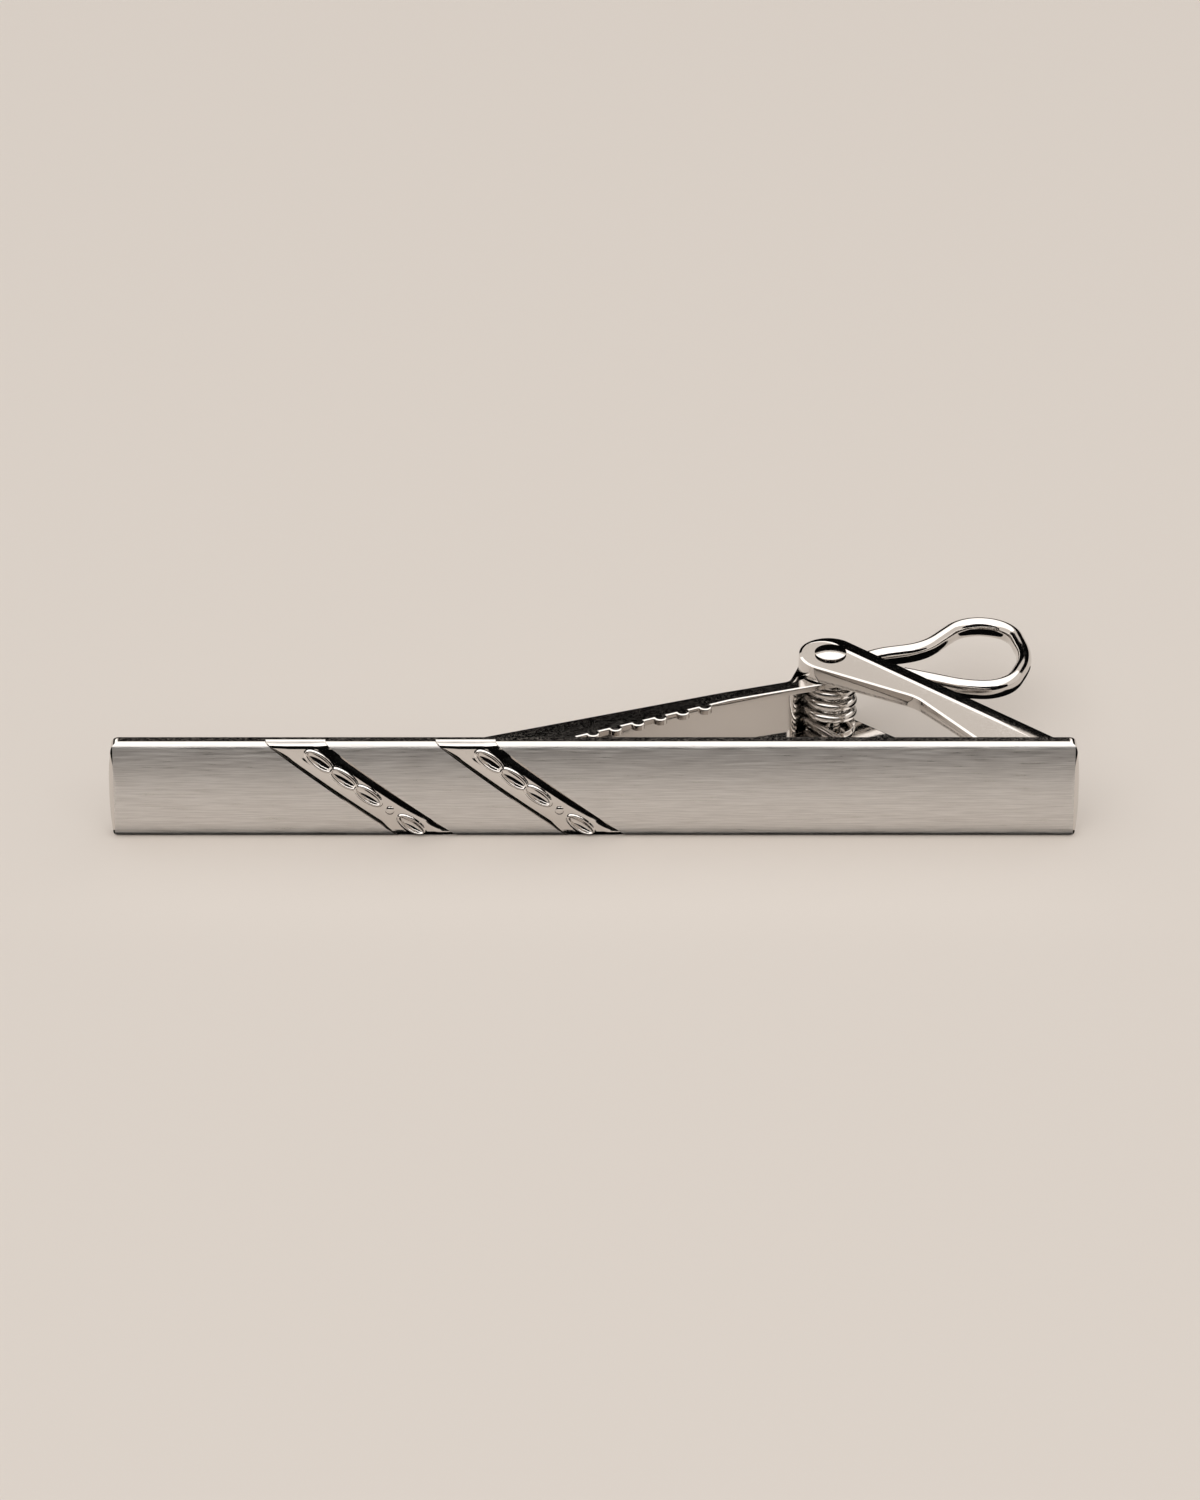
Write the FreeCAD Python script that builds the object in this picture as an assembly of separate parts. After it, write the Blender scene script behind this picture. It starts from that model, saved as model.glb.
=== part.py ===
import FreeCAD, Part
import math
import os

# Tie clip: a crowned metal bar with two ornamented diagonal grooves, and behind it a sprung clip arm
# on a hinge bracket. The bar stands on its long lower edge, as it does on a table.
# X runs along the bar, Y from its front to the clip behind it, Z up. Millimetres.
# The origin is the middle of the flat lower edge of the front plate.

Vector = FreeCAD.Vector

# Front plate
BAR_LENGTH = 58.0
BAR_HEIGHT = 6.4
PLATE_THICKNESS = 0.9
EDGE_RADIUS = 0.4
CROWN = 0.2
END_BULGE = 0.25
CORNER_RADIUS = 0.45
END_EDGE_RADIUS = 0.6

# Diagonal grooves in the front plate, measured square to their own direction
GROOVE_ANGLE = 39.0
GROOVE_WIDTH = 2.25
GROOVE_DEPTH = 0.45
GROOVE_CENTRES = {"left": -13.85, "right": -3.7}

# Ornament strips, pressed with a chain of oval links and laid in the grooves
STRIP_CLEARANCE = 0.04
STRIP_THICKNESS = 0.35
LINK_COUNT = 3
CHAIN_START = -3.25
LINK_PITCH = 1.85
LINK_LENGTH = 2.0
LINK_WIDTH = 0.9
LINK_WALL = 0.2
LINK_HEIGHT = 0.1
BEAD_STEP = 1.65
BEAD_RADIUS = 0.26

# Back plate, soldered behind the front plate
BACK_THICKNESS = 0.4
BACK_INSET = 0.3
BACK_CORNER_RADIUS = 0.4

# Hinge bracket: a foot on the back plate, with a thick cheek along its top and a thin one below
FOOT_SHEET = 0.6
TOP_CHEEK = 1.1
BOTTOM_CHEEK = 0.6
BRACKET_INSET = 0.2
FOOT_LENGTH = 5.1
FOOT_END_GAP = 0.6
CHEEK_REAR_STEP = 0.3
NOSE_RADIUS = 1.95
CHEEK_FRONT_RUN = 3.9
CHEEK_FRONT_RISE = 5.3
CHEEK_BEND_RADIUS = 2.5
CHEEK_EDGE_RADIUS = 0.25
TOP_RIM_RADIUS = 0.5

# Hinge pin: where its axis stands, from the bar's right end and from the back plate
PIN_FROM_END = 14.6
PIN_FROM_BACK = 10.35
PIN_RADIUS = 0.7
PIN_HEAD_RADIUS = 1.0
PIN_HEAD_HEIGHT = 0.15
PIN_CLEARANCE = 0.05

# Clip arm: a channel with its web behind, its toothed flanges towards the bar, and ears on the pin
SIDE_CLEARANCE = 0.1
ARM_SHEET = 0.4
EAR_RADIUS = 1.6
JAW_REACH = 24.0
JAW_FLAT = 4.4
JAW_GAP = 0.12
JAW_TIP_DEPTH = 0.85
TOOTHED_LENGTH = 13.4
TOOTHED_RISE = 6.4
FLANGE_DEPTH = 1.1
TOOTH_PITCH = 1.5
TOOTH_RADIUS = 0.42
TOOTH_COUNT = 9
TOOTH_START = 1.2
WEB_BEND_RADIUS = 0.8
WEB_CLEARANCE = 0.2
TAIL_HEIGHT = 1.6
TAIL_HEADING = 34.0
TAIL_LENGTH = 3.6

# Thumb loop: a flattened wire, brazed to the end of the arm's tail and bent into a teardrop.
# Each run has a heading from +X in plan and a length, and a bend joins it to the next.
LOOP_WIDTH = 1.25
LOOP_THICKNESS = 0.95
LOOP_HEADINGS = (TAIL_HEADING, 14.0, 52.5, -12.0, -78.5, -110.0, 172.0, 157.5)
LOOP_RUNS = (3.4, 2.9, 4.3, 3.0, 4.0, 4.1, 2.75, 2.6)
LOOP_BEND_RADII = (4.0, 3.5, 2.25, 2.25, 5.0, 2.2, 5.0)

# Torsion spring on the pin: its top leg pushes the tail, its bottom leg bears on the back plate
SPRING_MEAN_RADIUS = 1.36
SPRING_WIRE = 0.4
SPRING_FULL_TURNS = 3
SPRING_END_GAP = 0.1
SPRING_TOP_ANGLE = 118.0
SPRING_BOTTOM_ANGLE = 217.0
SPRING_TOP_LEG = 2.6
SPRING_BOTTOM_LEG_GAP = 0.1
HELIX_SPANS_PER_TURN = 4

# Places that several pieces share
SEAM_Y = (PLATE_THICKNESS - EDGE_RADIUS) / 2
FRONT_Y = SEAM_Y - PLATE_THICKNESS
BACK_Y = SEAM_Y + BACK_THICKNESS
MID_Z = BAR_HEIGHT / 2
PIN = Vector(BAR_LENGTH / 2 - PIN_FROM_END, BACK_Y + PIN_FROM_BACK, 0)
CHEEK_TOP_Z = BAR_HEIGHT - BRACKET_INSET
CHEEK_GAP_HIGH_Z = CHEEK_TOP_Z - TOP_CHEEK
CHEEK_GAP_LOW_Z = BRACKET_INSET + BOTTOM_CHEEK
ARM_TOP_Z = CHEEK_GAP_HIGH_Z - SIDE_CLEARANCE
ARM_LOW_Z = CHEEK_GAP_LOW_Z + SIDE_CLEARANCE
SPRING_OUTER_RADIUS = SPRING_MEAN_RADIUS + SPRING_WIRE / 2


# Shared geometry helpers

def heading_vector(degrees):
    """Unit vector in the XY plane at an angle from +X."""
    angle = math.radians(degrees)
    return Vector(math.cos(angle), math.sin(angle), 0)


def left_of(direction):
    """The direction turned a quarter turn to the left, in the XY plane."""
    return Vector(-direction.y, direction.x, 0)


def at_height(point, z):
    return Vector(point.x, point.y, z)


def prism(face, z_low, z_high):
    """A face drawn at Z = 0, made a solid between two heights."""
    raised = face.copy()
    raised.translate(Vector(0, 0, z_low))
    return raised.extrude(Vector(0, 0, z_high - z_low))


def polygon_face(points):
    return Part.Face(Part.makePolygon(points + [points[0]]))


def disc_face(centre, radius):
    return Part.Face(Part.Wire(Part.makeCircle(radius, at_height(centre, 0))))


def box_between(low, high):
    size = high - low
    return Part.makeBox(size.x, size.y, size.z, low)


def fused(solids):
    """One clean solid from several that touch or overlap."""
    return solids[0].fuse(solids[1:]).removeSplitter()


def tangent_point(point, centre, radius, side):
    """Where a line from a point touches a circle, on its left (side 1) or right (side -1)."""
    offset = centre - point
    distance = offset.Length
    swing = math.asin(radius / distance) * side
    bearing = math.atan2(offset.y, offset.x) + swing
    reach = math.sqrt(distance ** 2 - radius ** 2)
    return point + Vector(math.cos(bearing), math.sin(bearing), 0) * reach


def run_ways(points):
    """Unit directions of the straight runs of a path."""
    return [(b - a).normalize() for a, b in zip(points, points[1:])]


def path_edges(points, radii, side=0.0):
    """Edges of a path of straight runs, with an arc of its own radius at each inner point,
    moved sideways by a distance to its left."""
    runs = run_ways(points)
    edges = []
    here = points[0] + left_of(runs[0]) * side
    for corner, radius, before, after in zip(points[1:-1], radii, runs, runs[1:]):
        turn = math.atan2(before.cross(after).z, before.dot(after))
        way = math.copysign(1, turn)
        setback = radius * math.tan(abs(turn) / 2)
        centre = corner - before * setback + left_of(before) * (radius * way)
        spoke = (radius - side * way) * way
        start = centre - left_of(before) * spoke
        end = centre - left_of(after) * spoke
        middle = centre - (left_of(before) + left_of(after)).normalize() * spoke
        if (start - here).Length > 0.001:
            edges.append(Part.LineSegment(here, start).toShape())
        edges.append(Part.Arc(start, middle, end).toShape())
        here = end
    edges.append(Part.LineSegment(here, points[-1] + left_of(runs[-1]) * side).toShape())
    return edges


def strip_face(points, radii, thickness):
    """A bent strip of one thickness along a path."""
    runs = run_ways(points)
    half = thickness / 2
    edges = path_edges(points, radii, half) + path_edges(points, radii, -half)
    for end in (0, -1):
        across = left_of(runs[end]) * half
        edges.append(Part.LineSegment(points[end] + across, points[end] - across).toShape())
    return Part.Face(Part.Wire(Part.__sortEdges__(edges)))


# Front plate: a crowned bar with rounded long edges and slightly bulging ends

def plate_profile(inset=0.0):
    """Section of the bar across its length, in the YZ plane, with its front moved in by a depth
    and its long edges rounded less."""
    front = FRONT_Y + inset
    radius = EDGE_RADIUS - inset / 2
    edge_mid = radius - radius * math.sqrt(0.5)
    top = BAR_HEIGHT
    low_flat = Vector(0, front + radius, 0)
    low_face = Vector(0, front, radius)
    high_face = Vector(0, front, top - radius)
    high_flat = Vector(0, front + radius, top)
    low_back = Vector(0, SEAM_Y, 0)
    high_back = Vector(0, SEAM_Y, top)
    edges = [
        Part.LineSegment(low_back, low_flat),
        Part.Arc(low_flat, Vector(0, front + edge_mid, edge_mid), low_face),
        Part.Arc(low_face, Vector(0, front - CROWN, MID_Z), high_face),
        Part.Arc(high_face, Vector(0, front + edge_mid, top - edge_mid), high_flat),
        Part.LineSegment(high_flat, high_back),
        Part.LineSegment(high_back, low_back),
    ]
    return Part.Face(Part.Wire([edge.toShape() for edge in edges]))


def long_bar(inset=0.0):
    """The bar's section drawn out well past both ends."""
    profile = plate_profile(inset)
    profile.translate(Vector(-BAR_LENGTH, 0, 0))
    return profile.extrude(Vector(2 * BAR_LENGTH, 0, 0))


def plate_outline():
    """The bar seen from the front, with bulging ends and small rounded corners, as a deep prism."""
    end_x = BAR_LENGTH / 2
    shoulder = end_x - END_BULGE
    depth = 4 * PLATE_THICKNESS
    start_y = FRONT_Y - CROWN - PLATE_THICKNESS
    corners = {}
    for name, x, z in (("a", -shoulder, 0), ("b", shoulder, 0),
                       ("c", shoulder, BAR_HEIGHT), ("d", -shoulder, BAR_HEIGHT)):
        corners[name] = Vector(x, start_y, z)
    edges = [
        Part.LineSegment(corners["a"], corners["b"]),
        Part.Arc(corners["b"], Vector(end_x, start_y, MID_Z), corners["c"]),
        Part.LineSegment(corners["c"], corners["d"]),
        Part.Arc(corners["d"], Vector(-end_x, start_y, MID_Z), corners["a"]),
    ]
    face = Part.Face(Part.Wire([edge.toShape() for edge in edges]))
    block = face.extrude(Vector(0, depth, 0))
    upright = [edge for edge in block.Edges
               if abs(edge.Vertexes[0].Point.y - edge.Vertexes[-1].Point.y) > depth / 2]
    return block.makeFillet(CORNER_RADIUS, upright)


def plate_plan():
    """The bar seen from above, with its front corners rounded, as a tall prism."""
    end_x = BAR_LENGTH / 2
    near_y = FRONT_Y - CROWN
    block = box_between(Vector(-end_x, near_y, -BAR_HEIGHT), Vector(end_x, SEAM_Y, 2 * BAR_HEIGHT))
    upright = [edge for edge in block.Edges
               if edge.Length > 2 * BAR_HEIGHT and edge.Vertexes[0].Point.y < SEAM_Y
               and abs(edge.Vertexes[0].Point.z - edge.Vertexes[-1].Point.z) > BAR_HEIGHT]
    return block.makeFillet(END_EDGE_RADIUS, upright)


def diagonal_ways():
    """Direction of the grooves on the bar's face, and the direction across them."""
    angle = math.radians(GROOVE_ANGLE)
    along = Vector(math.cos(angle), 0, -math.sin(angle))
    across = Vector(math.sin(angle), 0, math.cos(angle))
    return along, across


def diagonal_prism(centre_x, width):
    """A slanting band of one width, right through the bar and past both its long edges."""
    along, across = diagonal_ways()
    reach = along * (BAR_HEIGHT / math.sin(math.radians(GROOVE_ANGLE)))
    half = across * (width / 2)
    middle = Vector(centre_x, FRONT_Y - 2 * CROWN, MID_Z)
    corners = [middle - half - reach, middle + half - reach, middle + half + reach, middle - half + reach]
    return polygon_face(corners).extrude(Vector(0, PLATE_THICKNESS + 2 * CROWN, 0))


def front_plate():
    """The bar with a channel of even depth for each ornament strip."""
    bar = long_bar().common(plate_outline()).common(plate_plan())
    floor = long_bar(GROOVE_DEPTH)
    return bar.cut([diagonal_prism(x, GROOVE_WIDTH).cut(floor) for x in GROOVE_CENTRES.values()])


# Ornament strip: a flat strip that follows the bar's crown, with raised oval links and beads on it

def strip_top(swell):
    """The bar's section at the height of the strip's face, or above it by a swell."""
    return long_bar(GROOVE_DEPTH - STRIP_THICKNESS - swell)


def ornament_strip(centre_x):
    along, across = diagonal_ways()
    width = GROOVE_WIDTH - 2 * STRIP_CLEARANCE
    floor = long_bar(GROOVE_DEPTH)
    base = diagonal_prism(centre_x, width).common(strip_top(0.0))
    through = Vector(0, PLATE_THICKNESS + 2 * CROWN, 0)
    middle = Vector(centre_x, FRONT_Y - 2 * CROWN, MID_Z)
    rings = []
    bead_place = CHAIN_START + (LINK_COUNT - 1) * LINK_PITCH + BEAD_STEP
    link_places = [CHAIN_START + index * LINK_PITCH for index in range(LINK_COUNT)]
    for place in link_places + [bead_place + BEAD_STEP]:
        centre = middle + along * place
        ovals = []
        for inset in (0, LINK_WALL):
            ellipse = Part.Ellipse(
                centre + along * (LINK_LENGTH / 2 - inset),
                centre + across * (LINK_WIDTH / 2 - inset),
                centre,
            )
            ovals.append(Part.Face(Part.Wire(ellipse.toShape())).extrude(through))
        rings.append(ovals[0].cut(ovals[1]))
    rings.append(Part.makeCylinder(BEAD_RADIUS, through.Length, middle + along * bead_place, Vector(0, 1, 0)))
    relief = [ring.common(strip_top(LINK_HEIGHT)) for ring in rings]
    return fused([base] + relief).cut(floor)


# Back plate: a flat strip that closes the back of the bar and carries the bracket

def back_plate():
    half = BAR_LENGTH / 2 - END_BULGE - BACK_INSET
    low = Vector(-half, SEAM_Y, BACK_INSET)
    high = Vector(half, BACK_Y, BAR_HEIGHT - BACK_INSET)
    plate = box_between(low, high)
    corners = [edge for edge in plate.Edges
               if abs(edge.Vertexes[0].Point.y - edge.Vertexes[-1].Point.y) > BACK_THICKNESS / 2]
    return plate.makeFillet(BACK_CORNER_RADIUS, corners)


# Hinge bracket: slanting cheeks that rise from a foot at the bar's end to a round nose on the pin

FOOT_RIGHT = BAR_LENGTH / 2 - FOOT_END_GAP
FOOT_LEFT = FOOT_RIGHT - FOOT_LENGTH


def cheek_face():
    """Plan of a cheek: straight rear edge, round nose, and a front edge with one bend."""
    base_rear = Vector(FOOT_RIGHT, BACK_Y, 0)
    heel = Vector(FOOT_RIGHT, BACK_Y + CHEEK_REAR_STEP, 0)
    base_front = Vector(FOOT_LEFT, BACK_Y, 0)
    bend = Vector(FOOT_LEFT - CHEEK_FRONT_RUN, BACK_Y + CHEEK_FRONT_RISE, 0)
    rear_touch = tangent_point(heel, PIN, NOSE_RADIUS, -1)
    front_touch = tangent_point(bend, PIN, NOSE_RADIUS, 1)
    nose_tip = PIN + (PIN - (heel + bend) / 2).normalize() * NOSE_RADIUS
    before = (bend - base_front).normalize()
    after = (front_touch - bend).normalize()
    turn = math.acos(before.dot(after))
    setback = CHEEK_BEND_RADIUS * math.tan(turn / 2)
    bend_start = bend - before * setback
    bend_end = bend + after * setback
    centre = bend_start + left_of(before) * CHEEK_BEND_RADIUS
    bend_middle = centre + (bend - centre).normalize() * CHEEK_BEND_RADIUS
    edges = [
        Part.LineSegment(base_rear, heel),
        Part.LineSegment(heel, rear_touch),
        Part.Arc(rear_touch, nose_tip, front_touch),
        Part.LineSegment(front_touch, bend_end),
        Part.Arc(bend_end, bend_middle, bend_start),
        Part.LineSegment(bend_start, base_front),
        Part.LineSegment(base_front, base_rear),
    ]
    return Part.Face(Part.Wire([edge.toShape() for edge in edges]))


def cheek(inner_z, outer_z, rim_radius):
    """A cheek between two heights, with its outer rim rounded and a hole for the pin."""
    low_z = min(inner_z, outer_z)
    high_z = max(inner_z, outer_z)
    plate = prism(cheek_face(), low_z, high_z)
    half = (high_z - low_z) / 2
    rim = [edge for edge in plate.Edges
           if all(abs(vertex.Point.z - outer_z) < half for vertex in edge.Vertexes)
           and not all(vertex.Point.y < BACK_Y + CHEEK_REAR_STEP / 2 for vertex in edge.Vertexes)]
    plate = plate.makeFillet(rim_radius, rim)
    return plate.cut(prism(disc_face(PIN, PIN_RADIUS), low_z, high_z))


def hinge_bracket():
    foot = box_between(
        Vector(FOOT_LEFT, BACK_Y, BRACKET_INSET + BOTTOM_CHEEK / 2),
        Vector(FOOT_RIGHT - TOP_RIM_RADIUS, BACK_Y + FOOT_SHEET, CHEEK_TOP_Z - TOP_CHEEK / 2),
    )
    top = cheek(CHEEK_GAP_HIGH_Z, CHEEK_TOP_Z, TOP_RIM_RADIUS)
    bottom = cheek(CHEEK_GAP_LOW_Z, BRACKET_INSET, CHEEK_EDGE_RADIUS)
    return fused([foot, top, bottom])


# Hinge pin: a plain shaft with a low peened head on each cheek

def hinge_pin():
    base = at_height(PIN, BRACKET_INSET)
    shaft = Part.makeCylinder(PIN_RADIUS, CHEEK_TOP_Z - BRACKET_INSET, base)
    dome_radius = (PIN_HEAD_RADIUS ** 2 + PIN_HEAD_HEIGHT ** 2) / (2 * PIN_HEAD_HEIGHT)
    heads = []
    for seat_z, way in ((CHEEK_TOP_Z, 1), (BRACKET_INSET, -1)):
        seat = at_height(PIN, seat_z)
        ball = Part.makeSphere(dome_radius, at_height(PIN, seat_z + way * (PIN_HEAD_HEIGHT - dome_radius)))
        outside = Part.makeCylinder(2 * PIN_HEAD_RADIUS, 2 * PIN_HEAD_HEIGHT, seat, Vector(0, 0, way))
        heads.append(ball.common(outside))
    return fused([shaft] + heads)


# Clip arm: the web bends round behind the spring, and the flanges end in ears on the pin

JAW_Y = BACK_Y + JAW_GAP
JAW_TIP = Vector(PIN.x - JAW_REACH, JAW_Y, 0)
TEETH_LOW = JAW_TIP + Vector(JAW_FLAT, 0, 0)
TEETH_HIGH = TEETH_LOW + Vector(TOOTHED_LENGTH, TOOTHED_RISE, 0)


def web_path():
    """Middle of the web's thickness, from the jaw's tip to the end of the tail."""
    half = ARM_SHEET / 2
    teeth_way = (TEETH_HIGH - TEETH_LOW).normalize()
    hip = TEETH_HIGH + left_of(teeth_way) * (FLANGE_DEPTH - half)
    tip = Vector(JAW_TIP.x, JAW_TIP.y + JAW_TIP_DEPTH - half, 0)
    ring = SPRING_OUTER_RADIUS + WEB_CLEARANCE + half
    tail_way = heading_vector(TAIL_HEADING)
    tail_middle = PIN + left_of(tail_way) * (ring + WEB_CLEARANCE)
    tail_end = tail_middle + tail_way * (TAIL_LENGTH / 2)
    waist = Vector(PIN.x - ring - ARM_SHEET, PIN.y - EAR_RADIUS, 0)
    steep = heading_vector(90 - TAIL_HEADING / 2)
    climb = (tail_middle - waist).cross(tail_way).z / steep.cross(tail_way).z
    shoulder = waist + steep * climb
    return [tip, hip, waist, shoulder, tail_end]


def flange_face():
    """Plan of a flange: from the web's back to the toothed edge, with a round ear on the pin."""
    path = web_path()
    touch = tangent_point(TEETH_HIGH, PIN, EAR_RADIUS, -1)
    return polygon_face([JAW_TIP, TEETH_LOW, TEETH_HIGH, touch, PIN, path[2], path[1], path[0]])


def flange(low_z):
    """A flange with its teeth and ear, standing on a height."""
    high_z = low_z + ARM_SHEET
    way = (TEETH_HIGH - TEETH_LOW).normalize()
    solids = [
        prism(flange_face(), low_z, high_z),
        prism(disc_face(PIN, EAR_RADIUS), low_z, high_z),
    ]
    for index in range(TOOTH_COUNT):
        centre = TEETH_LOW + way * (TOOTH_START + index * TOOTH_PITCH)
        solids.append(prism(disc_face(centre, TOOTH_RADIUS), low_z, high_z))
    return fused(solids).cut(prism(disc_face(PIN, PIN_RADIUS + PIN_CLEARANCE), low_z, high_z))


def clip_arm():
    path = web_path()
    radii = [WEB_BEND_RADIUS * 4, WEB_BEND_RADIUS, WEB_BEND_RADIUS]
    web_face = strip_face(path, radii, ARM_SHEET)
    neck_x = path[3].x + 2 * WEB_BEND_RADIUS
    beyond = box_between(
        Vector(neck_x, -BAR_LENGTH, -BAR_HEIGHT),
        Vector(BAR_LENGTH, BAR_LENGTH, 2 * BAR_HEIGHT),
    )
    web = prism(web_face, ARM_LOW_Z, ARM_TOP_Z).cut(beyond)
    tail = prism(web_face, MID_Z - TAIL_HEIGHT / 2, MID_Z + TAIL_HEIGHT / 2)
    return fused([web, tail, flange(ARM_LOW_Z), flange(ARM_TOP_Z - ARM_SHEET)])


# Thumb loop: starts at the tail's end and turns back on itself

def loop_path():
    points = [web_path()[-1]]
    for heading, run in zip(LOOP_HEADINGS, LOOP_RUNS):
        points.append(points[-1] + heading_vector(heading) * run)
    return points


def thumb_loop():
    points = loop_path()
    path = Part.Wire(path_edges(points, LOOP_BEND_RADII))
    across = left_of(run_ways(points)[0]) * (LOOP_THICKNESS / 2)
    half_flat = Vector(0, 0, (LOOP_WIDTH - LOOP_THICKNESS) / 2)
    tip = Vector(0, 0, LOOP_WIDTH / 2)
    start = points[0]
    section = Part.Wire([
        Part.LineSegment(start + across - half_flat, start + across + half_flat).toShape(),
        Part.Arc(start + across + half_flat, start + tip, start - across + half_flat).toShape(),
        Part.LineSegment(start - across + half_flat, start - across - half_flat).toShape(),
        Part.Arc(start - across - half_flat, start - tip, start + across - half_flat).toShape(),
    ])
    shell = Part.BRepOffsetAPI.MakePipeShell(path)
    shell.add(section, False, False)
    shell.build()
    shell.makeSolid()
    loop = Part.Solid(shell.shape())
    loop.translate(Vector(0, 0, MID_Z))
    return loop


# Torsion spring: a helix of biarcs about the pin, with a straight leg at each end

SPRING_LOW_Z = ARM_LOW_Z + ARM_SHEET + SPRING_END_GAP + SPRING_WIRE / 2
SPRING_HIGH_Z = ARM_TOP_Z - ARM_SHEET - SPRING_END_GAP - SPRING_WIRE / 2


def spring_turning():
    """Degrees that the helix turns, clockwise seen from above, on its way up."""
    return (SPRING_BOTTOM_ANGLE - SPRING_TOP_ANGLE) % 360 + 360 * SPRING_FULL_TURNS


def helix_state(share):
    """Point and unit tangent of the helix, from its bottom at 0 to its top at 1."""
    turning = math.radians(spring_turning())
    angle = math.radians(SPRING_BOTTOM_ANGLE) - turning * share
    rise = SPRING_HIGH_Z - SPRING_LOW_Z
    point = PIN + Vector(math.cos(angle), math.sin(angle), 0) * SPRING_MEAN_RADIUS
    point.z = SPRING_LOW_Z + rise * share
    tangent = Vector(math.sin(angle), -math.cos(angle), 0) * (SPRING_MEAN_RADIUS * turning)
    tangent.z = rise
    return point, tangent.normalize()


def arc_edge(start, control, end):
    """An arc that leaves its start towards a control point and arrives at its end from it."""
    chord_middle = (start + end) / 2
    half_chord = (end - start).Length / 2
    height = (control - chord_middle).Length
    sagitta = half_chord * math.tan(math.atan2(height, half_chord) / 2)
    middle = chord_middle + (control - chord_middle).normalize() * sagitta
    return Part.Arc(start, middle, end).toShape()


def biarc_edges(start, start_way, end, end_way):
    """Two arcs that leave one point and reach another along given tangents."""
    gap = end - start
    ways = start_way + end_way
    square = 2 * (1 - start_way.dot(end_way))
    along = 2 * gap.dot(ways)
    reach = (-along + math.sqrt(along ** 2 + 4 * square * gap.dot(gap))) / (2 * square)
    first_control = start + start_way * reach
    second_control = end - end_way * reach
    joint = (first_control + second_control) / 2
    return [arc_edge(start, first_control, joint), arc_edge(joint, second_control, end)]


def torsion_spring():
    spans = math.ceil(spring_turning() / 360 * HELIX_SPANS_PER_TURN)
    states = [helix_state(index / spans) for index in range(spans + 1)]
    bottom, bottom_way = states[0]
    top, top_way = states[-1]
    leg_drop = bottom.y - BACK_Y - SPRING_BOTTOM_LEG_GAP - SPRING_WIRE / 2
    bottom_foot = bottom - bottom_way * (leg_drop / bottom_way.y)
    edges = [Part.LineSegment(bottom_foot, bottom).toShape()]
    for (here, here_way), (there, there_way) in zip(states, states[1:]):
        edges += biarc_edges(here, here_way, there, there_way)
    edges.append(Part.LineSegment(top, top + top_way * SPRING_TOP_LEG).toShape())
    path = Part.Wire(edges)
    section = Part.Wire(Part.makeCircle(SPRING_WIRE / 2, bottom_foot, bottom_way))
    shell = Part.BRepOffsetAPI.MakePipeShell(path)
    shell.add(section, False, False)
    shell.build()
    shell.makeSolid()
    spring = Part.Solid(shell.shape())
    pitch = (SPRING_HIGH_Z - SPRING_LOW_Z) / spring_turning() * 360
    print("spring gap between turns: %.3f mm" % least_turn_gap())
    print("spring pitch %.3f mm, volume %.3f, section times length %.3f" % (
        pitch, spring.Volume, math.pi * SPRING_WIRE ** 2 / 4 * path.Length))
    return spring


def least_turn_gap():
    """Least clear distance between one turn of the helix and the next, measured on points."""
    steps = 36
    turns = spring_turning() / 360
    count = int(turns * steps)
    points = [helix_state(index / count)[0] for index in range(count + 1)]
    gaps = []
    for first, here in enumerate(points):
        for there in points[first + steps // 2:]:
            gaps.append((there - here).Length)
    return min(gaps) - SPRING_WIRE


def build():
    parts = {
        "front_plate": front_plate(),
        "back_plate": back_plate(),
        "hinge_bracket": hinge_bracket(),
        "hinge_pin": hinge_pin(),
        "clip_arm": clip_arm(),
        "thumb_loop": thumb_loop(),
        "torsion_spring": torsion_spring(),
    }
    for side, centre_x in GROOVE_CENTRES.items():
        parts["ornament_strip_" + side] = ornament_strip(centre_x)
    return parts


os.makedirs("parts", exist_ok=True)
for name, shape in build().items():
    print(name, "solids", len(shape.Solids), "volume %.3f" % shape.Volume, "valid", shape.isValid())
    shape.exportStep("parts/%s.step" % name)
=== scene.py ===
import math

import bmesh
import bpy
from mathutils import Matrix, Vector


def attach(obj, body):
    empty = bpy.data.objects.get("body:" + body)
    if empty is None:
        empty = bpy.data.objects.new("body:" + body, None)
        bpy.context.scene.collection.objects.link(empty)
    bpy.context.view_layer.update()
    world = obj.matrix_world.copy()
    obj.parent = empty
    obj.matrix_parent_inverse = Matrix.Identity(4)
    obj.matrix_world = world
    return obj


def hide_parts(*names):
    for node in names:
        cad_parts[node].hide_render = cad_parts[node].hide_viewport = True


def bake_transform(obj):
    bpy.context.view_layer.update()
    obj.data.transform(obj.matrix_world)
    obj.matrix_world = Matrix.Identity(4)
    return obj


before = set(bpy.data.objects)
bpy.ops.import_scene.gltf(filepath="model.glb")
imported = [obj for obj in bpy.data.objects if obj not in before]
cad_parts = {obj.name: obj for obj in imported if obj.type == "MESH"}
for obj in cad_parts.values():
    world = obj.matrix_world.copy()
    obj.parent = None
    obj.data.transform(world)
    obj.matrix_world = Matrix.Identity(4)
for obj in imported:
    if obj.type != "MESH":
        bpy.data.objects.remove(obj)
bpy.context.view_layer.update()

# Table and studio
# A sheet of warm grey paper under the clip, a large soft box overhead and a smaller one in front.
# Black cards lie and stand around it, hidden from the camera, also where they lie in its view on the
# paper. Only the polished metal shows them, as its dark lines, and light that the metal throws on the
# paper passes through them. Where the cards lie in view, their dark lines in the metal are painted
# reflections.

MM = 0.001
TABLE_LENGTH = 3.0
TABLE_DEPTH = 2.0
TABLE_MIDDLE = 0.6


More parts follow.
